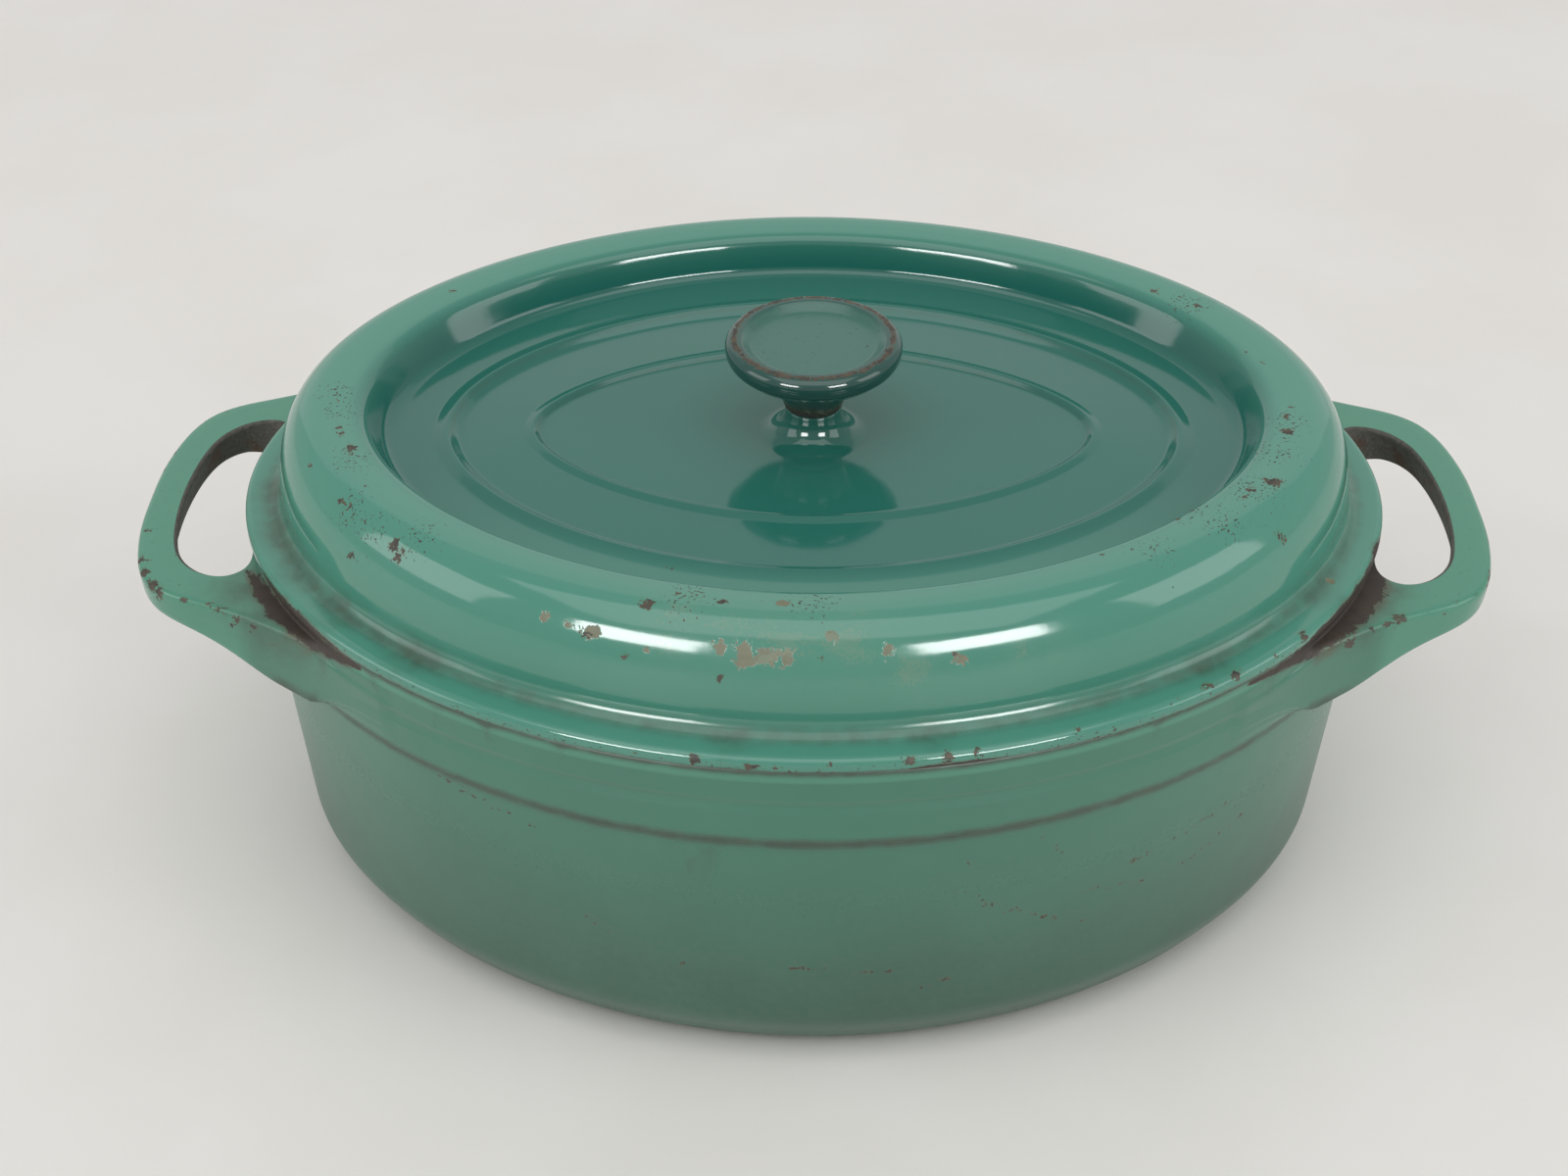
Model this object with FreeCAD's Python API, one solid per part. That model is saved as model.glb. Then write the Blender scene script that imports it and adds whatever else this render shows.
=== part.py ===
import FreeCAD, Part
import math
import os

from FreeCAD import Vector

# An oval enamelled cast iron dutch oven.  Millimetres, +Z up.  The origin is the
# middle of the flat base, +X runs along the oval through the two loop handles.
# Each oval is given by its half length along X; its half width along Y follows from
# it, less by nearly the same amount for all of them, so that the ovals stay parallel.

# ---- driving dimensions ------------------------------------------------------
pot_height = 112.0          # base to the rim that the lid rests on
rim_half_length = 158.8     # outside of the pot at its rim
band_height = 24.0          # thickened band below the rim
band_step = 1.4             # how far the wall steps in below the band
wall_foot_half_length = 152.6
base_half_length = 132.0    # flat part of the base
wall_thickness = 4.4
base_thickness = 5.5
rim_width = 6.2             # flat ring that the lid's flange lies on
rim_edge_radius = 1.4
band_taper = 0.4            # how much narrower the band is at its foot
band_edge_radius = 1.0
band_step_height = 1.6      # height of the slope under the band
band_step_radius = 1.2
corner_lower = (11.0, 1.2, 12.0)     # the wall's rounded foot: beyond the base, height, radius
corner_upper = (0.6, 16.0, 16.0)     # short of the wall's foot, height, radius
inner_corner_radius = 22.0
inner_flat_inset = 26.0     # inner foot of the wall to the flat part of the floor

lid_gap = 0.3               # seam between rim and lid flange
flange_half_length = 160.0
flange_thickness = 3.9
lid_thickness = 4.2
crest_half_length = 136.5
crest_rise = 32.2           # dome's highest ring above the seam
dome_outer_width = 13.0     # crest to the outside foot of the dome
well_floor_rise = 19.1      # sunken middle of the lid above the seam
spigot_half_length = 151.0  # locating ring that drops inside the rim
spigot_depth = 4.0
spigot_width = 4.6
spigot_taper = 0.3
spigot_edge_radius = 1.2
seat_corner_radius = 0.4
flange_top_radius = 1.9
flange_low_radius = 0.8
dome_skirt_height = 5.0     # flange to the lower end of the dome's curve
dome_fillet_radius = 4.5
crown_blend = (133.5, 0.98)          # half length and weight of the crown's inner arc
inner_dome_drop = 16.0      # crest to the lower end of the hollow's curve
inner_fillet = (3.0, 3.0)            # height above the seam and radius
inner_wall_top = 127.4      # half lengths of the hollow side of the well's wall
inner_wall_foot = 124.2
inner_wall_radius = 6.0
inner_flat_half_length = 100.0

# Section through the well from the middle outward: half length, height above its floor, radius.
well_section = [
    (74.0, 0.0, 0), (76.4, 0.0, 1.5), (78.3, 1.5, 1.0), (81.0, 0.7, 2.0),
    (98.8, -0.2, 2.0), (102.0, 2.4, 1.0), (106.0, 1.1, 4.0), (119.2, 1.1, 4.5),
]
# The shoulder above the well's wall: half length, height above the crest, radius.
shoulder_section = [(124.6, -0.9, 5.0), (131.0, -0.25, 0)]

boss_radius = 7.9
boss_top_rise = 28.0
boss_foot_width = 8.0
boss_foot_radius = 3.6
boss_edge_radius = 0.6
boss_root = 1.0             # how far the boss is sunk into the lid's plate
knob_radius = 24.3
knob_height = 21.5
neck_top_radius = 10.2
neck_swell = 0.4
neck_bend = (8.2, 4.0)      # height above the boss and radius
neck_foot_radius = 1.0
neck_end = (9.8, 2.2)       # depth below the knob's top and radius
knob_underside = (4.0, 8.8, 3.0)     # short of the knob's edge, depth, radius
knob_shoulder = (5.2, 4.5)  # depth and radius
knob_edge_radius = 2.8
dish_radius = 19.8
dish_depth = 2.4
dish_slope = 2.8
dish_edge_radius = 1.0
dish_floor_radius = 2.5

screw_radius = 2.95         # M6 machine screw, thread drawn as a plain shank
screw_hole_radius = 3.3
tapped_radius = 3.0
screw_length = 30.0
screw_head_radius = 6.0
screw_head_height = 3.7
screw_head_edge = 2.4
screw_seat_edge = 0.2
screw_tip_edge = 0.7
screw_tip_room = 1.0        # drilled depth beyond the tip of the screw
slot_width = 1.3
slot_depth = 1.7
flat_washer_radius = 9.0
flat_washer_thickness = 1.2
flat_washer_edge = 0.25
spring_washer_radius = 5.7
spring_washer_thickness = 1.6
spring_washer_play = 0.2    # between the washer and the screw
split_width = 0.9
split_angle = 25.0

handle_top_drop = 3.4       # handle top below the rim
handle_thickness = 9.4      # at the outer end; deeper towards the pot
handle_edge_radius = 2.2
handle_root = 155.4         # half length of the oval where the loops end inside the wall
opening_draft = 2.2         # how much wider the finger opening is at the underside
opening_bevel = 0.9         # edge of the finger opening at the top
scoop_half_width = 100.0
overrun = 1.0               # how far a cutting shape passes the surface it cuts
deep_overrun = 8.0

# Plan of the right-hand loop, positive Y half: the outside edge and the finger opening.
handle_outline = [
    (189.85, 0.0), (189.5, 14.0), (187.9, 25.5), (184.2, 37.8), (180.4, 43.6),
    (175.8, 47.3), (167.5, 51.2), (158.5, 54.9), (149.5, 59.2), (140.5, 64.4),
    (131.0, 70.6), (121.0, 77.9), (110.0, 86.2),
]
handle_opening = [
    (179.4, 0.0), (178.8, 12.0), (177.2, 22.3), (174.4, 30.2), (170.0, 35.6), (164.4, 38.9),
    (158.6, 39.2), (154.0, 36.0), (151.6, 30.0), (150.6, 20.0), (150.0, 0.0),
]
# Side view of the loop: distance from the centre, and depth of the underside below the top.
handle_underside = [
    (100.0, 21.5), (140.0, 21.2), (148.0, 20.0), (153.0, 17.9), (158.0, 15.2),
    (166.0, 11.9), (174.0, 10.0), (182.0, 9.4), (210.0, 9.4),
]

# ---- levels that follow from them --------------------------------------------
seam = pot_height + lid_gap
lid_underside = seam + well_floor_rise - lid_thickness
boss_top = seam + boss_top_rise


# ---- ovals -------------------------------------------------------------------
def corner_weight(half_length):
    """Middle weight of a quarter oval: fuller on big ovals, pointed on small ones."""
    steps = ((60.0, 0.500), (78.3, 0.522), (102.7, 0.614), (132.0, 0.650), (170.0, 0.662))
    for (low, low_weight), (high, high_weight) in zip(steps, steps[1:]):
        if half_length <= high:
            share = (half_length - low) / (high - low)
            return low_weight + max(share, 0.0) * (high_weight - low_weight)
    return steps[-1][1]


def half_width_of(half_length):
    """Half width of an oval: the steps in the lid's well are a little rounder than the rim."""
    steps = (
        (60.0, 35.5), (78.3, 34.6), (102.7, 33.0), (119.2, 31.7),
        (124.6, 33.0), (136.5, 35.5), (170.0, 35.5),
    )
    for (low, low_less), (high, high_less) in zip(steps, steps[1:]):
        if half_length <= high:
            share = (half_length - low) / (high - low)
            return half_length - low_less - max(share, 0.0) * (high_less - low_less)
    return half_length - steps[-1][1]


QUARTERS = ((1, 1), (-1, 1), (-1, -1), (1, -1))


def quarter_poles(half_length, height, quarter):
    """Three control points of one quarter of an oval, from the X axis to the Y axis."""
    side_x, side_y = QUARTERS[quarter]
    half_width = half_width_of(half_length)
    ends = [
        Vector(side_x * half_length, 0, height),
        Vector(side_x * half_length, side_y * half_width, height),
        Vector(0, side_y * half_width, height),
    ]
    if side_x * side_y < 0:
        ends.reverse()
    return ends


def oval_edges(half_length, height):
    """The four edges of an oval."""
    weight = corner_weight(half_length)
    edges = []
    for quarter in range(4):
        curve = Part.BSplineCurve()
        curve.buildFromPolesMultsKnots(
            quarter_poles(half_length, height, quarter), [3, 3], [0, 1], False, 2, [1, weight, 1]
        )
        edges.append(curve.toShape())
    return edges


def flat_oval(half_length, height):
    """A flat face inside one oval."""
    return Part.Face(Part.Wire(Part.__sortEdges__(oval_edges(half_length, height))))


def oval_band(segment):
    """Four faces that carry one stretch of a profile round the oval.

    A stretch is two points (a line) or three points and the weight of the middle one (an arc).
    """
    points = segment["points"]
    weights = segment["weights"]
    degree = len(points) - 1
    faces = []
    for quarter in range(4):
        poles = [quarter_poles(half, height, quarter) for half, height in points]
        pole_weights = []
        for (half, _), weight in zip(points, weights):
            pole_weights.append([weight, weight * corner_weight(half), weight])
        surface = Part.BSplineSurface()
        surface.buildFromPolesMultsKnots(
            poles, [degree + 1] * 2, [3, 3], [0, 1], [0, 1], False, False, degree, 2, pole_weights
        )
        faces.append(surface.toShape())
    return faces


def line(start, end):
    return {"points": [start, end], "weights": [1, 1]}


def ellipse_quarter(start, corner, end):
    """A quarter ellipse that leaves start and reaches end, aiming at corner on the way."""
    return {"points": [start, corner, end], "weights": [1, math.sqrt(0.5), 1]}


def rounded_profile(points):
    """Lines through (half length, height, radius) points, with each corner made an arc."""
    segments = []
    last = points[0][:2]
    for before, here, after in zip(points, points[1:], points[2:]):
        radius = here[2]
        incoming = unit(before, here)
        outgoing = unit(here, after)
        turn = math.acos(max(-1.0, min(1.0, incoming[0] * outgoing[0] + incoming[1] * outgoing[1])))
        reach = radius * math.tan(turn / 2)
        start = (here[0] - reach * incoming[0], here[1] - reach * incoming[1])
        end = (here[0] + reach * outgoing[0], here[1] + reach * outgoing[1])
        if math.dist(last, start) > 1e-4:
            segments.append(line(last, start))
        if radius > 0:
            segments.append({"points": [start, here[:2], end], "weights": [1, math.cos(turn / 2), 1]})
        last = end
    segments.append(line(last, points[-1][:2]))
    return segments


def unit(start, end):
    length = math.hypot(end[0] - start[0], end[1] - start[1])
    return ((end[0] - start[0]) / length, (end[1] - start[1]) / length)


def oval_solid(segments):
    """A closed solid: a profile carried round the oval, with flat faces inside its two ends."""
    faces = []
    for segment in segments:
        faces.extend(oval_band(segment))
    faces.append(flat_oval(*segments[0]["points"][0]))
    faces.append(flat_oval(*segments[-1]["points"][-1]))
    shell = Part.Shell(faces)
    shell.sewShape()
    solid = Part.Solid(shell)
    if solid.Volume < 0:
        solid.reverse()
    return solid


# ---- turned parts ------------------------------------------------------------
def turned(points):
    """A solid of revolution about Z from (radius, height, corner radius) points."""
    edges = []
    for segment in rounded_profile(points):
        poles = [Vector(radius, 0, height) for radius, height in segment["points"]]
        if len(poles) == 2:
            edges.append(Part.LineSegment(*poles).toShape())
            continue
        curve = Part.BSplineCurve()
        curve.buildFromPolesMultsKnots(poles, [3, 3], [0, 1], False, 2, segment["weights"])
        edges.append(curve.toShape())
    first = edges[0].Vertexes[0].Point
    last = edges[-1].Vertexes[-1].Point
    if first.distanceToPoint(last) > 1e-6:
        edges.append(Part.LineSegment(last, first).toShape())
    face = Part.Face(Part.Wire(edges))
    solid = face.revolve(Vector(0, 0, 0), Vector(0, 0, 1), 360)
    if solid.Volume < 0:
        solid.reverse()
    return solid


# ---- pot ---------------------------------------------------------------------
def pot_shell():
    """Band, wall, rounded corner and base, with the rim and the inside, as one casting."""
    band_foot = pot_height - band_height
    below_band = rim_half_length - band_step - band_taper
    inner_rim = rim_half_length - rim_width
    inner_foot = wall_foot_half_length - wall_thickness
    profile = rounded_profile(
        [
            (base_half_length, 0.0, 0),
            (base_half_length + corner_lower[0], corner_lower[1], corner_lower[2]),
            (wall_foot_half_length - corner_upper[0], corner_upper[1], corner_upper[2]),
            (below_band, band_foot - band_step_height, band_step_radius),
            (rim_half_length - band_taper, band_foot, band_edge_radius),
            (rim_half_length, pot_height, rim_edge_radius),
            (inner_rim, pot_height, rim_edge_radius),
            (inner_foot, base_thickness, inner_corner_radius),
            (inner_foot - inner_flat_inset, base_thickness, 0),
        ]
    )
    return oval_solid(profile)


def smooth_outline(points, height, closed):
    """A flat curve through (x, y) points; an open one gets a straight line between its ends."""
    places = [Vector(x, y, height) for x, y in points]
    curve = Part.BSplineCurve()
    curve.interpolate(Points=places, PeriodicFlag=closed)
    edges = [curve.toShape()]
    if not closed:
        edges.append(Part.LineSegment(places[-1], places[0]).toShape())
    return Part.Wire(edges)


def mirrored(half):
    """Points from one end round to the other, given those on the positive Y side."""
    return [(x, -y) for x, y in reversed(half[1:])] + half


def opening_outline(height, growth):
    """The finger opening at one height, grown outward from the wall by the mould's draft."""
    middle = handle_opening[-1][0]
    stretch_x = 1.0 + growth / (handle_opening[0][0] - middle)
    stretch_y = 1.0 + growth / max(y for _, y in handle_opening)
    points = mirrored(handle_opening)[:-1]
    grown = [(middle + (x - middle) * stretch_x, y * stretch_y) for x, y in points]
    return smooth_outline(grown, height, True)


def loop_handle():
    """The right-hand loop: a flat-topped bow that grows out of the band and thins outward."""
    top = pot_height - handle_top_drop
    bottom = pot_height - band_height + band_step
    outline = smooth_outline(mirrored(handle_outline), bottom, False)
    bow = Part.Face(outline).extrude(Vector(0, 0, top - bottom))

    # the underside rises from the band's foot to the thin outer end
    under = [(x, top - depth) for x, depth in handle_underside]
    places = [Vector(x, -scoop_half_width, height) for x, height in under]
    curve = Part.BSplineCurve()
    curve.interpolate(Points=places, PeriodicFlag=False)
    low_end = Vector(places[-1].x, -scoop_half_width, 0)
    low_start = Vector(places[0].x, -scoop_half_width, 0)
    edges = [
        curve.toShape(),
        Part.LineSegment(places[-1], low_end).toShape(),
        Part.LineSegment(low_end, low_start).toShape(),
        Part.LineSegment(low_start, places[0]).toShape(),
    ]
    scoop = Part.Face(Part.Wire(edges)).extrude(Vector(0, 2 * scoop_half_width, 0))
    bow = bow.cut(scoop)

    # the opening that the fingers go through, wider below so that it left the mould
    depth = top - bottom
    slope = opening_draft / handle_thickness
    low = opening_outline(bottom - overrun, slope * (depth + overrun))
    high = opening_outline(top + overrun, -slope * overrun)
    bow = bow.cut(Part.makeLoft([low, high], True, True))
    narrow = opening_outline(top - opening_bevel, 0.0)
    wide = opening_outline(top + opening_bevel, 2 * opening_bevel)
    bow = bow.cut(Part.makeLoft([narrow, wide], True, True))

    bow = soften(bow, handle_edge_radius)
    inside = oval_solid([line((handle_root, bottom - deep_overrun), (handle_root, top + deep_overrun))])
    return bow.cut(inside)


def soften(solid, radius):
    """Round the outside edges of the bow, going smaller where a full radius doesn't fit."""
    end = handle_outline[0][0]
    reach = [edge for edge in solid.Edges if edge.BoundBox.XMax > end - 1.0 and edge.Length > 2.0]
    for attempt in (radius, radius * 0.75, radius * 0.5):
        try:
            rounded = solid.makeFillet(attempt, reach)
        except Part.OCCError:
            continue
        if rounded.isValid() and rounded.Volume > 0:
            print("handle edges rounded at", attempt)
            return rounded
    print("handle edges left sharp")
    return solid


def make_pot_body():
    right = loop_handle()
    left = right.copy()
    left.rotate(Vector(0, 0, 0), Vector(0, 0, 1), 180)
    return pot_shell().fuse([right, left]).Solids[0]


# ---- lid ---------------------------------------------------------------------
def make_lid():
    """Flange, domed ring, sunken well with two oval steps, spigot ring and knob boss."""
    base = seam
    flange_top = base + flange_thickness
    crest = base + crest_rise
    floor = base + well_floor_rise
    dome_foot = crest_half_length + dome_outer_width
    under = lid_underside
    well = [(half, floor + rise, radius) for half, rise, radius in well_section]
    shoulder = [(half, crest + rise, radius) for half, rise, radius in shoulder_section]
    top_side = rounded_profile(well + shoulder)
    blend, blend_weight = crown_blend
    skirt = (dome_foot, flange_top + dome_skirt_height)
    inner_arc = [shoulder[-1][:2], (blend, crest), (crest_half_length, crest)]
    crown = [
        {"points": inner_arc, "weights": [1, blend_weight, 1]},
        ellipse_quarter((crest_half_length, crest), (dome_foot, crest), skirt),
    ]
    inner_foot = dome_foot - lid_thickness
    inner_skirt = (inner_foot, crest - inner_dome_drop)
    outside = rounded_profile(
        [
            (*skirt, 0),
            (dome_foot, flange_top, dome_fillet_radius),
            (flange_half_length, flange_top, flange_top_radius),
            (flange_half_length, base, flange_low_radius),
            (spigot_half_length, base, seat_corner_radius),
            (spigot_half_length - spigot_taper, base - spigot_depth, spigot_edge_radius),
            (spigot_half_length - spigot_width, base - spigot_depth, spigot_edge_radius),
            (inner_foot, base + inner_fillet[0], inner_fillet[1]),
            (*inner_skirt, 0),
        ]
    )
    inner_crest = crest - lid_thickness
    inner_top = (crest_half_length, inner_crest)
    under_crown = [ellipse_quarter(inner_skirt, (inner_foot, inner_crest), inner_top)]
    underside = rounded_profile(
        [
            (*inner_top, 0),
            (inner_wall_top, inner_crest, inner_wall_radius),
            (inner_wall_foot, under, inner_wall_radius),
            (inner_flat_half_length, under, 0),
        ]
    )
    casting = oval_solid(top_side + crown + outside + under_crown + underside)
    boss = turned(
        [
            (screw_hole_radius, under + boss_root, 0),
            (boss_radius + boss_foot_width, under + boss_root, 0),
            (boss_radius + boss_foot_width, floor, 0),
            (boss_radius, floor, boss_foot_radius),
            (boss_radius, boss_top, boss_edge_radius),
            (screw_hole_radius, boss_top, 0),
        ]
    )
    hole_bottom = Vector(0, 0, under - deep_overrun)
    hole = Part.makeCylinder(screw_hole_radius, boss_top - under + 2 * deep_overrun, hole_bottom)
    return casting.fuse(boss).cut(hole).Solids[0]


# ---- knob and its fastening --------------------------------------------------
def make_knob():
    """A dished round knob on a tapered neck, tapped from below."""
    top = boss_top + knob_height
    under_reach, under_depth, under_radius = knob_underside
    knob = turned(
        [
            (0.0, boss_top, 0),
            (boss_radius, boss_top, neck_foot_radius),
            (neck_top_radius + neck_swell, boss_top + neck_bend[0], neck_bend[1]),
            (neck_top_radius - neck_swell, top - neck_end[0], neck_end[1]),
            (knob_radius - under_reach, top - under_depth, under_radius),
            (knob_radius, top - knob_shoulder[0], knob_shoulder[1]),
            (knob_radius, top, knob_edge_radius),
            (dish_radius, top, dish_edge_radius),
            (dish_radius - dish_slope, top - dish_depth, dish_floor_radius),
            (0.0, top - dish_depth, 0),
        ]
    )
    hole_depth = screw_tip() + screw_tip_room - boss_top
    return knob.cut(Part.makeCylinder(tapped_radius, hole_depth, Vector(0, 0, boss_top)))


def screw_seat():
    return lid_underside - flat_washer_thickness - spring_washer_thickness


def screw_tip():
    return screw_seat() + screw_length


def make_knob_screw():
    """Slotted pan-head machine screw, up through the lid into the knob."""
    seat = screw_seat()
    screw = turned(
        [
            (0.0, seat - screw_head_height, 0),
            (screw_head_radius, seat - screw_head_height, screw_head_edge),
            (screw_head_radius, seat, screw_seat_edge),
            (screw_radius, seat, 0),
            (screw_radius, screw_tip(), screw_tip_edge),
            (0.0, screw_tip(), 0),
        ]
    )
    slot_reach = screw_head_radius + overrun
    slot_corner = Vector(-slot_reach, -slot_width / 2, seat - screw_head_height - overrun)
    return screw.cut(Part.makeBox(2 * slot_reach, slot_width, slot_depth + overrun, slot_corner))


def ring(inner, outer, bottom, thickness):
    outside = Part.makeCylinder(outer, thickness, Vector(0, 0, bottom))
    return outside.cut(Part.makeCylinder(inner, thickness, Vector(0, 0, bottom)))


def make_flat_washer():
    bottom = lid_underside - flat_washer_thickness
    washer = ring(screw_hole_radius, flat_washer_radius, bottom, flat_washer_thickness)
    outer_edges = [edge for edge in washer.Edges if edge.BoundBox.XMax > flat_washer_radius - overrun]
    outer_edges = [edge for edge in outer_edges if edge.Length > 2 * math.pi * screw_hole_radius + overrun]
    return washer.makeFillet(flat_washer_edge, outer_edges)


def make_spring_washer():
    """A flattened spring washer, with the slanted split that lets it spring."""
    bore = screw_radius + spring_washer_play
    washer = ring(bore, spring_washer_radius, screw_seat(), spring_washer_thickness)
    middle = screw_seat() + spring_washer_thickness / 2
    reach = spring_washer_radius + overrun
    split = Part.makeBox(reach, split_width, 2 * reach, Vector(0, -split_width / 2, middle - reach))
    split.rotate(Vector(0, 0, middle), Vector(1, 0, 0), split_angle)
    return washer.cut(split)


# ---- output ------------------------------------------------------------------
PIECES = {
    "pot_body": make_pot_body,
    "lid": make_lid,
    "knob": make_knob,
    "knob_screw": make_knob_screw,
    "flat_washer": make_flat_washer,
    "spring_washer": make_spring_washer,
}

os.makedirs("parts", exist_ok=True)
for node, make in PIECES.items():
    shape = make()
    box = shape.BoundBox
    print(node, shape.ShapeType, "valid", shape.isValid(), "volume cm3", round(shape.Volume / 1000, 2),
          "x", round(box.XMin, 2), round(box.XMax, 2), "y", round(box.YMin, 2), round(box.YMax, 2),
          "z", round(box.ZMin, 2), round(box.ZMax, 2))
    shape.exportStep("parts/" + node + ".step")
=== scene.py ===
# %% [markdown]
# # An oval enamelled cast iron dutch oven
#
# The CAD model gives the frame: where the pot and lid are, how the lid lifts and what collides.
# This script gives the looks. The pot, lid and knob are rebuilt here as smooth surfaces, because
# glossy enamel shows every flat facet, and the small steel pieces keep their CAD shapes and get
# a finish. All lengths in the shape cells are millimetres and become metres as a mesh is made.

# %% Load the frame
import math

import bpy
import numpy as np
from mathutils import Matrix


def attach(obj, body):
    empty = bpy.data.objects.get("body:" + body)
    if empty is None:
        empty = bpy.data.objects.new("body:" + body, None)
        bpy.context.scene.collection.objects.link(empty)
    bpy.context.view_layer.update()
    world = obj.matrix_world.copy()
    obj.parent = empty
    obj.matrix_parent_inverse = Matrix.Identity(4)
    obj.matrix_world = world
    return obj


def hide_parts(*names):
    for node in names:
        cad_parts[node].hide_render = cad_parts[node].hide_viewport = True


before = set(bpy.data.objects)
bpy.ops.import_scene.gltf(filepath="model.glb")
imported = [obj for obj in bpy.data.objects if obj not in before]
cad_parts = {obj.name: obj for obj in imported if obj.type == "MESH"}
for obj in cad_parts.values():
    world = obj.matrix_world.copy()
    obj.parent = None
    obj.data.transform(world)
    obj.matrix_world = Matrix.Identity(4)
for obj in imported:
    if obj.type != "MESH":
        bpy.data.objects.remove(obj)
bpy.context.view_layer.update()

# %% [markdown]
# ## The camera
#
# A camera about 70 cm away looks down at 36 degrees, nearly square to the long side. The lens is
# moderately long, so the front of the oval is only a little larger than its back.

# %% The camera
MM = 0.001
POT_HEIGHT = 112.0          # base to rim
SENSOR = 36.0


def add_camera(place, aim, lens, roll):
    """A camera at place, turned to look at aim, with its up side as near +Z as it can be."""
    data = bpy.data.cameras.new("camera")
    data.lens = lens
    data.sensor_width = SENSOR
    data.clip_start = 0.01
    camera = bpy.data.objects.new("camera", data)
    bpy.context.scene.collection.objects.link(camera)
    back = np.array(place) - np.array(aim)
    back = back / np.linalg.norm(back)
    right = np.cross((0, 0, 1), back)
    right = right / np.linalg.norm(right)
    up = np.cross(back, right)
    turned_right = right * math.cos(roll) + up * math.sin(roll)
    turned_up = up * math.cos(roll) - right * math.sin(roll)
    matrix = np.eye(4)
    matrix[:3, :4] = np.stack([turned_right, turned_up, back, np.array(place)], axis=1)
    camera.matrix_world = Matrix(matrix.tolist())
    bpy.context.scene.camera = camera
    return camera


camera = add_camera(place=(-0.0001, -0.5632, 0.4921), aim=(-0.0082, 0.0, 0.0766), lens=54.72, roll=-0.0015)
print("camera at", [round(v, 4) for v in camera.matrix_world.translation])

# %% [markdown]
# ## The floor and the studio light
#
# The floor is a large pale plane. Two soft boxes stand left and right behind the camera and give
# the paired highlights on the enamel. They are seen only in gloss, so they don't flatten the
# front. Wide panels at the sides, a backdrop and a large overhead box light the surfaces, and a
# pale sky fills the shadows.

# %% The floor
def add_floor(half_size):
    """One square face, far larger than the object."""
    mesh = bpy.data.meshes.new("floor")
    corners = [(-half_size, -half_size, 0), (half_size, -half_size, 0),
               (half_size, half_size, 0), (-half_size, half_size, 0)]
    mesh.from_pydata(corners, [], [(0, 1, 2, 3)])
    floor = bpy.data.objects.new("floor", mesh)
    bpy.context.scene.collection.objects.link(floor)
    return floor


floor = add_floor(6.0)
print("floor added:", floor.name)


# %% The lights
def add_softbox(name, place, aim, width, height, watts):
    """A rectangular area light at place, facing aim; its long side lies level."""
    data = bpy.data.lights.new(name, "AREA")
    data.shape = "RECTANGLE"
    data.size = width
    data.size_y = height
    data.energy = watts
    light = bpy.data.objects.new(name, data)
    bpy.context.scene.collection.objects.link(light)
    back = np.array(place, float) - np.array(aim, float)
    back = back / np.linalg.norm(back)
    right = np.cross((0, 0, 1), back)
    right = right / np.linalg.norm(right)
    matrix = np.eye(4)
    matrix[:3, :4] = np.stack([right, np.cross(back, right), back, np.array(place, float)], axis=1)
    light.matrix_world = Matrix(matrix.tolist())
    return light


def add_sky(colour, strength):
    world = bpy.data.worlds.new("sky")
    bpy.context.scene.world = world
    world.use_nodes = True
    background = world.node_tree.nodes["Background"]
    background.inputs["Color"].default_value = (*colour, 1)
    background.inputs["Strength"].default_value = strength


for side in (-1, 1):
    streak = add_softbox("softbox", (0.64 * side, -1.12, 0.63), (0, -0.1, 0.14), 0.5, 0.34, 9.0)
    streak.visible_diffuse = False
    add_softbox("panel", (2.1 * side, -0.6, 0.95), (0, 0, 0.14), 1.2, 1.1, 8.0)
add_softbox("backdrop", (0, 2.2, 1.1), (0, 0, 0.3), 4.5, 2.2, 9)
add_softbox("overhead", (0, -0.9, 2.2), (0, -0.2, 0.0), 3.0, 2.0, 23)
add_sky((1.0, 0.99, 0.97), 0.48)
bpy.context.scene.view_settings.view_transform = "Standard"
print("lights:", sorted(light.name for light in bpy.data.lights))

# %% [markdown]
# ## Conic ovals
#
# Every outline of the pot and lid is the same kind of oval. A quarter of it is one conic arc that
# leaves the tip of the long axis, aims at the corner of its box and ends at the tip of the short
# axis. How strongly the corner pulls says how full the oval is: 0.71 is an ellipse and less is
# more pointed. Neighbouring ovals keep nearly the same distance all the way round: each one's
# half width is its half length less about 35 mm, and a little less than that inside the well.

# %% Rings and surfaces of rings
CIRCLE_PULL = math.sqrt(0.5)
ENAMEL, IRON, LINING, SOLE = range(4)     # the finishes of a casting, by material slot


def oval_pull(half_length):
    """The corner's pull of an oval of this size: the small ones on the lid are pointed."""
    return np.interp(half_length, [60, 78.3, 102.7, 132, 170], [0.50, 0.522, 0.614, 0.650, 0.662])


def half_width_of(half_length):
    """Half width of an oval: the steps in the lid's well are a little rounder than the rim."""
    sizes = [60, 78.3, 102.7, 119.2, 124.6, 136.5]
    return half_length - np.interp(half_length, sizes, [35.5, 34.6, 33.0, 31.7, 33.0, 35.5])


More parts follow.
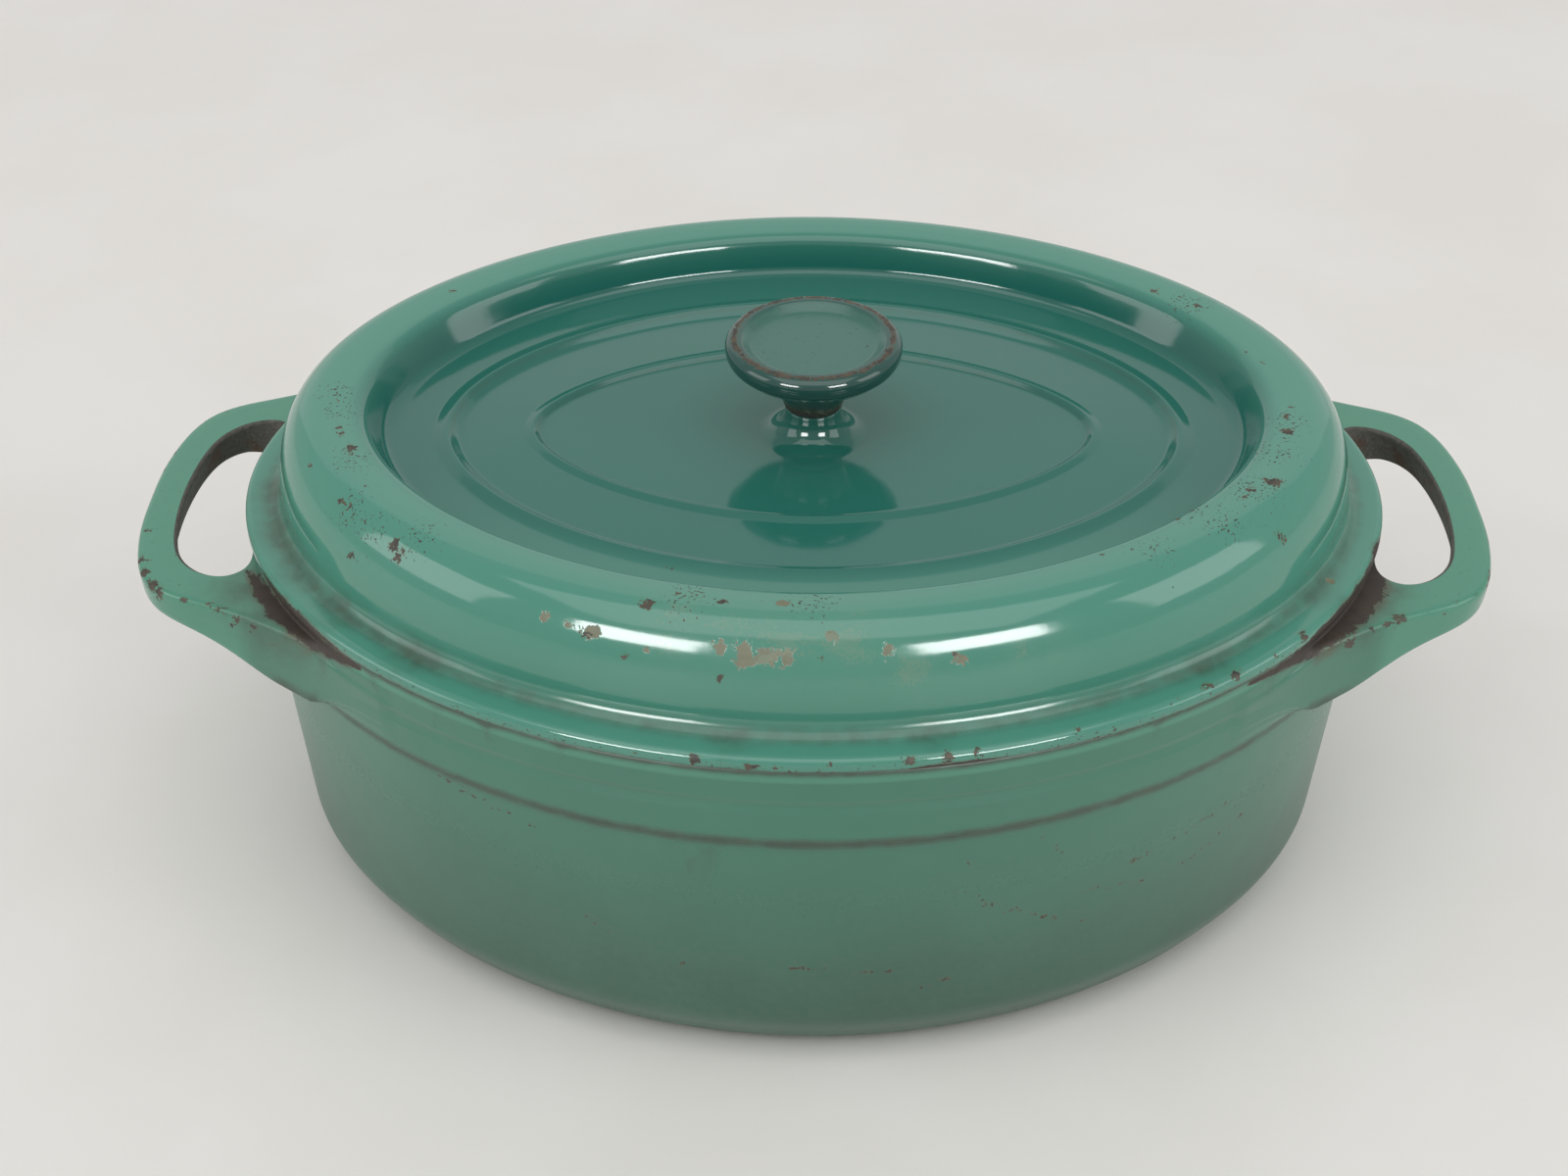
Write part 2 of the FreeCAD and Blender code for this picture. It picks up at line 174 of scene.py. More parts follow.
def ring_grid(half_length, half_width, pull, height, columns):
    """One ring a row. With r = 1 - t, a quarter's point is (a (rr + 2 w t r), b (tt + 2 w t r))
    over (rr + 2 w t r + tt), and the other three quarters are its mirror images."""
    u = np.arange(columns) * 4.0 / columns
    quarter = np.floor(u).astype(int)
    t = (u - quarter)[None, :]
    w = np.asarray(pull, float)[:, None]
    both = 2 * w * t * (1 - t)
    total = (1 - t) ** 2 + both + t ** 2
    early = ((1 - t) ** 2 + both) / total
    late = (t ** 2 + both) / total
    even = (quarter % 2 == 0)[None, :]
    along = np.where(even, early, late) * np.where((quarter == 0) | (quarter == 3), 1, -1)
    across = np.where(even, late, early) * np.where(quarter < 2, 1, -1)
    x = np.asarray(half_length, float)[:, None] * along
    y = np.asarray(half_width, float)[:, None] * across
    z = np.broadcast_to(np.asarray(height, float)[:, None], x.shape)
    return np.stack([x, y, z], axis=-1)


def rounded(points, step):
    """Points along straight lines whose corners are tangent arcs, about step apart.
    Each given point is (half length, height, corner radius)."""
    path = [np.array(points[0][:2], float)]
    for before, here, after in zip(points, points[1:], points[2:]):
        corner = np.array(here[:2], float)
        incoming = corner - np.array(before[:2], float)
        outgoing = np.array(after[:2], float) - corner
        incoming = incoming / np.linalg.norm(incoming)
        outgoing = outgoing / np.linalg.norm(outgoing)
        turn = math.acos(float(np.clip(incoming @ outgoing, -1, 1)))
        reach = here[2] * math.tan(turn / 2)
        start = corner - reach * incoming
        end = corner + reach * outgoing
        add_line(path, start, step)
        count = max(4, int(math.ceil(here[2] * turn / (step * 0.6)))) if here[2] > 0 else 0
        pull = math.cos(turn / 2)
        for t in np.linspace(0, 1, count + 1)[1:]:
            parts = np.array([(1 - t) ** 2, 2 * pull * t * (1 - t), t ** 2])
            path.append((parts[0] * start + parts[1] * corner + parts[2] * end) / parts.sum())
    add_line(path, np.array(points[-1][:2], float), step)
    return np.array(path)


def add_line(path, end, step):
    """Carries the path straight on to end, in equal steps."""
    gap = np.linalg.norm(end - path[-1])
    if gap < 1e-4:
        return
    start = path[-1]
    for share in np.linspace(0, 1, max(1, int(math.ceil(gap / step))) + 1)[1:]:
        path.append(start + share * (end - start))


def arc(start, corner, end, pull, count):
    """A conic arc from start to end that aims at corner."""
    t = np.linspace(0, 1, count)[:, None]
    parts = [(1 - t) ** 2, 2 * pull * t * (1 - t), t ** 2]
    total = parts[0] + parts[1] + parts[2]
    return (parts[0] * np.array(start) + parts[1] * np.array(corner) + parts[2] * np.array(end)) / total


def grid_faces(rows, columns, close_rows=False):
    """Quads between neighbouring rows and columns; the columns always meet up again."""
    first = np.arange(rows if close_rows else rows - 1)[:, None]
    column = np.arange(columns)[None, :]
    second = (first + 1) % rows
    following = (column + 1) % columns
    quads = [first * columns + column, first * columns + following,
             second * columns + following, second * columns + column]
    return np.stack([np.broadcast_to(q, (first.shape[0], columns)) for q in quads], axis=-1).reshape(-1, 4)


def capped_faces(rows, columns):
    """A grid's quads, with one cap inside its first ring and one inside its last."""
    first = np.arange(columns)
    caps = [first[::-1].tolist(), (first + (rows - 1) * columns).tolist()]
    return grid_faces(rows, columns).tolist() + caps


def make_mesh(name, points, faces, zones=None):
    """Puts points in millimetres and faces into a smooth mesh; zones gives each face's material."""
    mesh = bpy.data.meshes.new(name)
    if not isinstance(faces, list):
        faces = faces.tolist()
    mesh.from_pydata((points.reshape(-1, 3) * MM).tolist(), [], faces)
    if zones is not None:
        for _ in (ENAMEL, IRON, LINING, SOLE):
            mesh.materials.append(None)     # an empty slot, filled once the finishes are made
        mesh.polygons.foreach_set("material_index", np.asarray(zones, np.int32))
    mesh.shade_smooth()
    return mesh


def make_piece(name, mesh, body):
    """An object for a finished mesh that rides on a body."""
    piece = bpy.data.objects.new(name, mesh)
    bpy.context.scene.collection.objects.link(piece)
    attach(piece, body)
    print(name, len(mesh.vertices), "points", len(mesh.polygons), "faces")
    return piece


# %% [markdown]
# ## The lid
#
# The lid's section starts inside the screw hole, climbs over the boss, crosses the sunken floor,
# steps up twice, climbs the wall of the well, goes over the domed ring and out on to the flange,
# and comes back along the underside to the screw hole. Between the round boss and the first oval
# the rings change from circles to ovals, as the casting does.

# %% The lid's section
SEAM = POT_HEIGHT + 0.3     # the flange's underside
PLATE = 4.2                 # thickness of the lid
FLOOR = SEAM + 19.1         # sunken middle
CREST = SEAM + 32.2         # highest ring
UNDER = FLOOR - PLATE
HOLLOW = CREST - PLATE      # underside below the crest
FLANGE_TOP = SEAM + 3.9
SKIRT = SEAM + 8.9          # lower end of the dome's curve
HOLLOW_SKIRT = CREST - 16.0
FLANGE_EDGE = 160.0         # half lengths of the ovals, from the outside in
REST = 157.0
DOME = 149.5
INSIDE = 145.3
CREST_OVAL = 136.5
SHOULDER = 131.0
MIDDLE_OVAL = 70.0
BORE = 3.3
BOSS = 7.9
BOSS_TOP = SEAM + 28.0


def rings_of_circles(path):
    """Half length, half width, pull and height for a path of (radius, height)."""
    radius, height = path[:, 0], path[:, 1]
    return np.stack([radius, radius, np.full(len(path), CIRCLE_PULL), height], axis=1)


def rings_of_ovals(path):
    half, height = path[:, 0], path[:, 1]
    return np.stack([half, half_width_of(half), oval_pull(half), height], axis=1)


def rings_between(inner, outer, count):
    """Rings that change evenly from one ring to another."""
    share = np.linspace(0, 1, count + 2)[1:-1, None]
    return inner + share * (outer - inner)


boss_path = rounded([(BORE, BOSS_TOP - 3, 0), (BORE, BOSS_TOP, 0.4), (BOSS, BOSS_TOP, 0.6),
                     (BOSS, FLOOR, 7.8), (BOSS + 10, FLOOR, 0)], 1.0)
well_path = rounded([(MIDDLE_OVAL, FLOOR, 0), (76.4, FLOOR, 1.5), (78.3, FLOOR + 1.5, 1.0),
                     (81.0, FLOOR + 0.7, 2.0),
                     (98.8, FLOOR - 0.2, 2.0), (102.0, FLOOR + 2.4, 1.0), (106.0, FLOOR + 1.1, 4.0),
                     (119.2, FLOOR + 1.1, 4.5), (124.6, CREST - 0.9, 5.0), (SHOULDER, CREST - 0.25, 0)], 1.1)
crown_path = np.concatenate([
    arc((SHOULDER, CREST - 0.25), (133.5, CREST), (CREST_OVAL, CREST), 0.98, 6)[1:],
    arc((CREST_OVAL, CREST), (DOME, CREST), (DOME, SKIRT), CIRCLE_PULL, 34)[1:-1]])
flange_path = rounded([(DOME, SKIRT, 0), (DOME, FLANGE_TOP, 4.5), (FLANGE_EDGE, FLANGE_TOP, 1.9),
                       (FLANGE_EDGE, SEAM, 0.8), (REST, SEAM, 0)], 0.9)
foot_path = rounded([(REST, SEAM, 0), (151.0, SEAM, 0.4), (150.7, SEAM - 4.0, 1.2),
                     (146.4, SEAM - 4.0, 1.2),
                     (INSIDE, SEAM + 3.0, 3.0), (INSIDE, SEAM + 8.0, 0)], 1.2)
inner_path = np.concatenate([
    rounded([(INSIDE, SEAM + 8.0, 0), (INSIDE, HOLLOW_SKIRT, 0)], 2.5),
    arc((INSIDE, HOLLOW_SKIRT), (INSIDE, HOLLOW), (CREST_OVAL, HOLLOW), CIRCLE_PULL, 14)[1:],
    rounded([(CREST_OVAL, HOLLOW, 0), (127.4, HOLLOW, 6.0), (124.2, UNDER, 6.0),
             (MIDDLE_OVAL, UNDER, 0)], 2.5)[1:]])
hole_path = rounded([(16.0, UNDER, 0), (BORE, UNDER, 0.4), (BORE, UNDER + 3, 0)], 1.5)


def lid_rings():
    """All the lid's rings in order, and how many of them are green, bare and lined."""
    boss = rings_of_circles(boss_path)
    well = rings_of_ovals(well_path)
    top = np.concatenate([boss, rings_between(boss[-1], well[0], 14), well, rings_of_ovals(crown_path),
                          rings_of_ovals(flange_path)])
    foot = rings_of_ovals(foot_path)[1:]
    inner = rings_of_ovals(inner_path)[1:]
    hole = rings_of_circles(hole_path)
    lining = np.concatenate([inner, rings_between(inner[-1], hole[0], 10), hole])
    return np.concatenate([top, foot, lining]), (len(top), len(foot), len(lining))


def make_lid(columns=400):
    rings, (green, bare, lined) = lid_rings()
    points = ring_grid(rings[:, 0], rings[:, 1], rings[:, 2], rings[:, 3], columns)
    faces = grid_faces(len(rings), columns, close_rows=True)[:, ::-1]
    row_zone = np.array([ENAMEL] * (green - 1) + [IRON] * (bare + 1) + [LINING] * lined)
    mesh = make_mesh("lid_casting", points, faces, np.repeat(row_zone, columns))
    piece = make_piece("lid_casting", mesh, "lid")
    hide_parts("lid")
    return piece


lid = make_lid()

# %% [markdown]
# ## The knob
#
# A turned shape: a tapered neck, a full round edge and a shallow dish in the top. Its rings are
# circles, so the same grid makes it, with a closed tip in the middle of the dish.

# %% The knob
KNOB_TOP = BOSS_TOP + 21.5


def make_knob(columns=180):
    middle = KNOB_TOP - 3.2
    path = rounded([(3.0, BOSS_TOP + 6, 0), (3.0, BOSS_TOP, 0.3), (BOSS, BOSS_TOP, 1.0),
                    (10.6, BOSS_TOP + 8.2, 4.0),
                    (9.8, middle - 6.6, 2.2), (20.3, middle - 5.6, 3.0), (24.3, middle - 2.0, 4.5),
                    (24.3, KNOB_TOP, 2.8), (19.8, KNOB_TOP, 1.0), (17.0, KNOB_TOP - 2.4, 2.5),
                    (0.4, KNOB_TOP - 2.4, 0)], 0.7)
    rings = rings_of_circles(path)
    points = ring_grid(rings[:, 0], rings[:, 1], rings[:, 2], rings[:, 3], columns).reshape(-1, 3)
    tip = len(points)
    points = np.concatenate([points, [[0, 0, KNOB_TOP - 2.4]], [[0, 0, BOSS_TOP + 6]]])
    column = np.arange(columns)
    following = (column + 1) % columns
    last = (len(rings) - 1) * columns
    upper = np.stack([last + column, last + following, np.full(columns, tip)], axis=1)
    lower = np.stack([following, column, np.full(columns, tip + 1)], axis=1)
    faces = grid_faces(len(rings), columns).tolist() + upper.tolist() + lower.tolist()
    piece = make_piece("knob_casting", make_mesh("knob_casting", points, faces), "lid")
    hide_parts("knob")
    return piece


knob = make_knob()

# %% [markdown]
# ## The pot and its two loops
#
# The pot's section runs from the middle of the base, round the corner and up the wall, over the
# thick band to the rim, and down the inside. The loops belong to the same casting, so they are
# made in the same grid: where a loop grows out, the rows of the band swing outward over its flat
# top, down its edge and back along its underside. The finger openings are then cut through.

# %% A smooth curve through points
def smooth_curve(points, count, closed):
    """A cubic spline through points: with D the slope at each point and h the gaps between them,
    neighbouring pieces bend alike where D/h balances three times the chords."""
    given = np.array(points, float)
    if closed:
        given = np.concatenate([given, given[:1]])
    gap = np.linalg.norm(np.diff(given, axis=0), axis=1)
    along = np.concatenate([[0], np.cumsum(gap)])
    chord = np.diff(given, axis=0) / gap[:, None]
    size = len(given)
    balance = np.zeros((size, size))
    wanted = np.zeros((size, 2))
    inner = np.arange(1, size - 1)
    balance[inner, inner - 1] = gap[1:]
    balance[inner, inner] = 2 * (gap[1:] + gap[:-1])
    balance[inner, inner + 1] = gap[:-1]
    wanted[1:-1] = 3 * (gap[1:, None] * chord[:-1] + gap[:-1, None] * chord[1:])
    if closed:
        balance[0, [0, 1, -2]] = 2 * (gap[0] + gap[-1]), gap[-1], gap[0]
        wanted[0] = 3 * (gap[0] * chord[-1] + gap[-1] * chord[0])
        balance[-1, [0, -1]] = 1, -1
    else:
        balance[0, :2] = 2, 1
        balance[-1, -2:] = 1, 2
        wanted[0] = 3 * chord[0]
        wanted[-1] = 3 * chord[-1]
    slope = np.linalg.solve(balance, wanted)
    place = np.linspace(0, along[-1], count + 1)[:-1] if closed else np.linspace(0, along[-1], count)
    piece = np.clip(np.searchsorted(along, place, side="right") - 1, 0, size - 2)
    h = gap[piece][:, None]
    t = (place - along[piece])[:, None] / h
    return (given[piece] * (2 * t ** 3 - 3 * t ** 2 + 1) + slope[piece] * h * (t ** 3 - 2 * t ** 2 + t)
            + given[piece + 1] * (3 * t ** 2 - 2 * t ** 3) + slope[piece + 1] * h * (t ** 3 - t ** 2))


def mirrored(half):
    """Points from one end round to the other, given those on the positive Y side."""
    return [(x, -y) for x, y in reversed(half[1:])] + list(half)


# %% The loops' plan and side view
RIM = 158.8
HANDLE_TOP = POT_HEIGHT - 3.4
BAND_FOOT = POT_HEIGHT - 24.0
HANDLE_OUTLINE = [(189.85, 0.0), (189.5, 14.0), (187.9, 25.5), (184.2, 37.8), (180.4, 43.6), (175.8, 47.3),
                  (167.5, 51.2), (158.5, 54.9), (149.5, 59.2), (140.5, 64.4), (131.0, 70.6), (121.0, 77.9),
                  (110.0, 86.2)]
HANDLE_OPENING = [(179.4, 0.0), (178.8, 12.0), (177.2, 22.3), (174.4, 30.2), (170.0, 35.6), (164.4, 38.9),
                  (159.6, 39.2), (156.0, 36.6), (154.6, 32.0), (156.5, 22.0), (158.6, 11.0), (159.3, 0.0)]
UNDERSIDE = [(100.0, 21.5), (140.0, 21.2), (148.0, 20.0), (153.0, 17.9), (158.0, 15.2), (166.0, 11.9),
             (174.0, 10.0), (182.0, 9.4), (210.0, 9.4)]


def underside_height(x):
    """Height of a loop's underside at this distance from the centre."""
    curve = smooth_curve(UNDERSIDE, 200, False)
    return HANDLE_TOP - np.interp(np.abs(x), curve[:, 0], curve[:, 1])


def handle_extent(angle, band_radius):
    """How far the loops reach past the band: with d the outline's radius less the band's, a
    rounded max(d, 0), which is (d + root(dd + 4)) / 2 and fades out where no loop is near."""
    outline = smooth_curve(mirrored(HANDLE_OUTLINE), 600, False)
    bearing = np.arctan2(outline[:, 1], outline[:, 0])
    radius = np.hypot(outline[:, 0], outline[:, 1])
    folded = np.arctan2(np.sin(angle), np.abs(np.cos(angle)))
    d = np.interp(folded, bearing, radius, left=0, right=0) - band_radius
    fade = np.clip((d + 9) / 6, 0, 1)
    return 0.5 * (d + np.sqrt(d * d + 4)) * fade * fade * (3 - 2 * fade)


def rounded_columns(corners, radii, counts):
    """Rounds the corners of many paths at once; corners is (corner, path, 2)."""
    rows = [corners[0]]
    last = corners[0]
    for index in range(1, len(corners) - 1):
        incoming = corners[index] - corners[index - 1]
        outgoing = corners[index + 1] - corners[index]
        room_in = np.linalg.norm(incoming, axis=1, keepdims=True) + 1e-6
        room_out = np.linalg.norm(outgoing, axis=1, keepdims=True) + 1e-6
        cosine = np.clip((incoming * outgoing).sum(axis=1, keepdims=True) / room_in / room_out, -0.999, 1)
        turn = np.arccos(cosine)
        reach = np.minimum(radii[index] * np.tan(turn / 2), 0.45 * np.minimum(room_in, room_out))
        start = corners[index] - incoming / room_in * reach
        end = corners[index] + outgoing / room_out * reach
        for share in np.linspace(0, 1, counts[index] + 1)[1:]:
            rows.append(last + share * (start - last))
        for t in np.linspace(0, 1, 6)[1:]:
            weights = [(1 - t) ** 2, 2 * np.cos(turn / 2) * t * (1 - t), t ** 2]
            rows.append((weights[0] * start + weights[1] * corners[index] + weights[2] * end) / sum(weights))
        last = end
    for share in np.linspace(0, 1, counts[-1] + 1)[1:]:
        rows.append(last + share * (corners[-1] - last))
    return np.stack(rows)


# %% The band with the loops
def band_rows(columns):
    """The band from its foot up to the rim, going out round each loop where there is one."""
    rim = ring_grid([RIM], [half_width_of(RIM)], [oval_pull(RIM)], [POT_HEIGHT], columns)[0]
    radius = np.hypot(rim[:, 0], rim[:, 1])
    angle = np.arctan2(rim[:, 1], rim[:, 0])
    reach = handle_extent(angle, radius)
    zero = np.zeros(columns)

    def under(share):
        return underside_height(np.cos(angle) * (radius + share * reach))

    low, high = BAND_FOOT + 0.5, POT_HEIGHT - 2.0
    corners = np.stack([np.stack(pair, axis=1) for pair in [
        (zero, zero + low), (zero, under(0)), (0.33 * reach, under(0.33)), (0.66 * reach, under(0.66)),
        (reach - 0.5, under(1)), (reach, zero + HANDLE_TOP), (zero, zero + HANDLE_TOP), (zero, zero + high)]])
    path = rounded_columns(corners, [0, 2.5, 12, 12, 2.8, 2.0, 1.2, 0], [0, 3, 3, 3, 3, 4, 9, 2])
    plain = np.linspace(low, high, len(path))[:, None]
    grown = np.clip(reach / 4, 0, 1)
    grown = grown * grown * (3 - 2 * grown)
    height = plain + grown * (path[:, :, 1] - plain)
    draft = 0.4 * (POT_HEIGHT - height) / (POT_HEIGHT - BAND_FOOT)
    total = radius + path[:, :, 0] - draft
    return np.stack([total * np.cos(angle), total * np.sin(angle), height], axis=-1)


def pot_grid(columns):
    """All the pot's rows, and each row's zone."""
    sole = rounded([(70.0, 0.0, 0), (128.0, 0.0, 0)], 4.0)
    wall = rounded([(128.0, 0.0, 0), (132.0, 0.0, 0), (143.0, 1.2, 12.0), (152.0, 16.0, 16.0),
                    (157.0, 86.4, 1.2),
                    (158.4, 88.0, 1.0), (158.41, 88.45, 0)], 2.0)
    land = rounded([(158.76, POT_HEIGHT - 1.9, 0), (158.8, POT_HEIGHT, 1.4), (156.0, POT_HEIGHT, 0)], 0.9)
    inside = rounded([(156.0, POT_HEIGHT, 0), (152.6, POT_HEIGHT, 1.4), (148.2, 5.5, 22.0),
                      (70.0, 5.5, 0)], 2.5)
    tip_low = np.array([[0.5, 0.5, CIRCLE_PULL, 0.0]])
    tip_high = np.array([[0.5, 0.5, CIRCLE_PULL, 5.5]])
    sole_rings = rings_of_ovals(sole)
    inside_rings = rings_of_ovals(inside)[1:]
    lower = np.concatenate([tip_low, rings_between(tip_low[0], sole_rings[0], 10), sole_rings,
                            rings_of_ovals(wall)[1:]])
    upper = np.concatenate([rings_of_ovals(land), inside_rings,
                            rings_between(inside_rings[-1], tip_high[0], 10), tip_high])
    band = band_rows(columns)
    grid = np.concatenate([ring_grid(*lower.T, columns), band, ring_grid(*upper.T, columns)])
    sole_rows = 11 + len(sole_rings)
    outside_rows = len(lower) + len(band) + len(land) - 6
    zones = np.array([SOLE] * (sole_rows - 1) + [ENAMEL] * (outside_rows - sole_rows + 1)
                     + [IRON] * 7 + [LINING] * (len(grid) - outside_rows - 8))
    return grid, zones


def opening_cutter(side, count=200):
    """A plug the shape of the finger opening, flared at the top so that the edge comes out round."""
    middle = 150.0
    plan = smooth_curve(mirrored(HANDLE_OPENING)[:-1], count, True)
    flare = np.radians(np.arange(0, 81, 16))
    edge = 1.1
    growth = np.concatenate([[2.6, 2.2, 0.0], edge * (1 - np.cos(flare)), [edge]])
    height = HANDLE_TOP - np.concatenate([[26.0, 9.4, edge + 0.3], edge * (1 - np.sin(flare)), [-1.2]])
    outward = np.clip((plan[:, 0] - 157) / 12, 0, 1)
    x = middle + (plan[:, 0] - middle) * (1 + growth[:, None] * outward / (HANDLE_OPENING[0][0] - middle))
    y = plan[:, 1] * (1 + growth[:, None] * outward / 39.2)
    z = np.broadcast_to(height[:, None], x.shape)
    points = np.stack([side * x, side * y, z], axis=-1)
    return points, capped_faces(len(height), count)


# %% Make the pot
def cut_out(mesh, plugs):
    """Takes closed plugs away from a mesh; the cut faces get the bare iron material."""
    whole = bpy.data.objects.new("whole", mesh)
    bpy.context.scene.collection.objects.link(whole)
    helpers = [whole]
    for points, faces in plugs:
        plug_mesh = make_mesh("plug", points, faces, [IRON] * len(faces))
        plug = bpy.data.objects.new("plug", plug_mesh)
        bpy.context.scene.collection.objects.link(plug)
        helpers.append(plug)
        cut = whole.modifiers.new("cut", "BOOLEAN")
        cut.operation = "DIFFERENCE"
        cut.solver = "EXACT"
        cut.object = plug
    depsgraph = bpy.context.evaluated_depsgraph_get()
    result = bpy.data.meshes.new_from_object(whole.evaluated_get(depsgraph))
    for helper in helpers:
        bpy.data.objects.remove(helper)
    return result


def make_pot(columns=480):
    grid, row_zone = pot_grid(columns)
    faces = capped_faces(len(grid), columns)
    zones = np.concatenate([np.repeat(row_zone, columns), [SOLE, LINING]])
    mesh = cut_out(make_mesh("pot_casting", grid, faces, zones), [opening_cutter(1), opening_cutter(-1)])
    mesh.set_sharp_from_angle(angle=math.radians(42))
    piece = make_piece("pot_casting", mesh, "pot")
    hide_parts("pot_body")
    return piece


pot = make_pot()
print("zones", np.bincount([polygon.material_index for polygon in pot.data.polygons]))

# %% [markdown]
# ## Where the wear is
#
# Old enamel chips where it is knocked, wears thin where it is rubbed and gathers grime in its
# corners. Each kind of wear is one value at every point of a surface, painted from short lists
# of places in millimetres. Painted shade rides in the same fields: along the seam, under steps
# and ledges, round the knob's boss and in the well. The materials sharpen these soft fields with
# fine noise.

# %% Painting fields
CHIPS_LID = [
    (-123, -30, 144, 3), (-123, -33, 144, 2), (-128, -20, 144, 2), (-127, -23, 144, 2),
    (-132, -2, 144, 1.5), (-131, -7, 144, 1.5), (-117, -48, 144, 1.5), (-123, -52, 142, 2),
    (-121, -54, 142, 2), (-115, -62, 141, 1.5), (-106, -70, 141, 3.5), (-105, -73, 140, 3.5),
    (-119, -64, 133, 2.5), (-134, -35, 142, 1.5), (-107, 55, 144, 2), (-55, -102, 137, 2.2),
    (-46, -106, 134, 1.6), (-40, -98, 144, 2.5), (-41, -99, 144, 2), (-22, -98, 144, 2.5),
    (-26, -95, 144, 1.5), (-33, -95, 144, 1.5), (-22, -111, 131, 2), (-37, -68, 133, 1.5),
    (120, -44, 144, 4.5), (114, -47, 144, 2.5), (112, -51, 144, 2), (89, -61, 144, 3),
    (85, -63, 144, 2), (93, -60, 144, 2), (73, -76, 144, 1.5), (128, -19, 144, 3.2),
    (129, -11, 144, 2), (131, -6, 144, 2), (120, -59, 138, 2.5), (122, -59, 137, 2),
    (101, 58, 144, 2.5), (112, 49, 144, 2.5), (123, 23, 144, 1.5), (127, 17, 144, 1.5),
    (108, 54, 144, 1.5), (35, -107, 136, 1.5), (3, -110, 137, 1.5), (-28, -122, 115, 3),
    (-16, -124, 114, 1.5), (5, -124, 115, 1.5), (24, -123, 115, 2.5), (33, -121, 115, 3),
    (41, -119, 115, 2.5), (66, -111, 116, 1.5), (91, -99, 116, 1.5), (100, -94, 116, 3),
    (108, -89, 116, 3), (118, -81, 115, 2), (127, -72, 115, 3), (-109, -89, 113, 2),
]
RUST_LID = [
    [(128, -71, 113, 1.0), (134, -65, 113, 1.8), (141, -57, 113, 2.2), (149, -45, 113.5, 2.2),
     (154, -31, 114, 2.0), (156, -22, 114, 0.8)],
    [(-118, -81, 113, 0.8), (-125, -74, 113, 1.6), (-133, -66, 113, 2.4), (-142, -56, 113, 2.0),
     (-150, -44, 113.5, 1.0)],
    [(24, -123, 112.6, 0.5), (32, -122, 112.8, 1.0), (42, -120, 112.8, 0.9), (49, -118.5, 112.6, 0.5)],
]
KHAKI_LID = [
    (-16, -110, 137.5, 3.8), (-10, -110.2, 137, 3.4), (-6, -110.5, 137.6, 2.6), (-22, -108, 139, 2.6),
    (-54, -102, 138, 2.6), (-66, -97, 139, 2.0), (-40, -106, 136, 1.6), (5, -107, 141, 2.2),
    (18, -109, 138, 2.2), (36, -108, 135, 2.2), (-7, -98, 144, 2.0), (-60, -100, 139, 2.0),
    (138, -49, 116, 1.8), (40, -118, 119, 2.2), (-44, -119, 118, 2.0),
]
GRIME_LID = [
    (-156, -12, 116, 13), (-152, -32, 116, 14), (-143, -50, 116, 12), (-128, -70, 116, 11),
    (-104, -88, 117, 10), (140, -58, 116, 10), (104, -90, 117, 8), (30, -120, 117, 6),
    (-20, -121, 117, 6),
]
SCUFF_LID = [
    (-31, -103, 143, 14), (-21, -105, 142, 14), (-7, -107, 142, 16), (8, -107, 142, 14),
    (-33, -106, 139, 10), (10, -110, 137, 12), (24, -110, 134, 10), (52, -104, 134, 6),
    (60, -101, 133, 6),
]
SPECKS_LID = [
    (86, -74, 144, 9), (99, -56, 144, 9), (115, -48, 144, 11), (123, -28, 144, 11), (129, -14, 144, 9),
    (105, -63, 144, 9), (-129, -12, 144, 9), (-122, -36, 144, 9), (-113, -64, 141, 9),
    (-99, -70, 144, 9), (-132, -2, 144, 8), (-119, -56, 142, 9), (0, -98, 144, 10),
    (-30, -95, 144, 10), (110, 50, 144, 9),
]
CHIPS_POT = [
    (-185, -32, 108, 2.6), (-183, -38, 108, 3), (-180, -43, 108, 3), (-177, -46, 107, 3.6),
    (-169, -50, 108, 2), (-162, -53, 108, 2.6), (-157, -55, 108, 2.2), (-153, -57, 107, 2),
    (-149, -59, 106, 2), (-189, 1, 108, 1.5), (-187, -18, 109, 1.5), (-155, -56, 103, 2),
    (-149, -59, 100, 2), (-144, -62, 101, 2.4), (-171, -50, 101, 2), (-137, -67, 103, 2),
    (-131, -71, 101, 2), (-189, 13, 108, 1.5), (-188, 22, 108, 2), (-183, 40, 108, 2.4),
    (-178, 46, 108, 2.4), (184, 38, 108, 2), (187, 28, 108, 2), (189, 12, 108, 1.5),
    (189, -18, 108, 2), (186, -34, 107, 3), (184, -37, 106, 3), (178, -42, 109, 1.5),
    (170, -50, 106, 1.5), (173, -48, 108, 1.5), (158, -54, 108, 2), (156, -55, 108, 2.6),
    (153, -57, 108, 1.5), (148, -60, 108, 2), (143, -62, 108, 2), (142, -63, 107, 3),
    (137, -66, 105, 2), (132, -70, 104, 2), (47, -113, 52, 1.5), (61, -108, 44, 1.5),
    (72, -103, 37, 1.5), (41, -116, 76, 1.5), (-34, -115, 37, 1.5),
]
RUST_POT = [
    [(156, -22, 109, 1.2), (154.5, -33, 109, 3.0), (151, -43, 109, 4.6), (145, -52, 109, 5.4),
     (138, -60, 109, 5.4), (131, -67.5, 109, 3.6), (124, -75, 109, 1.6), (112, -85, 110, 0.8)],
    [(-153.5, -37, 109, 1.4), (-149, -46, 109, 2.6), (-143, -55, 109, 3.4), (-135, -64.5, 109, 3.2),
     (-127, -73, 109, 2.4), (-117, -81.5, 110, 1.0)],
]
GRIME_POT = [
    (-152, -45, 109, 15), (-146, -56, 109, 15), (-140, -64, 108, 13), (155, -41, 109, 10),
    (150, -48, 109, 11), (144, -57, 109, 10),
]
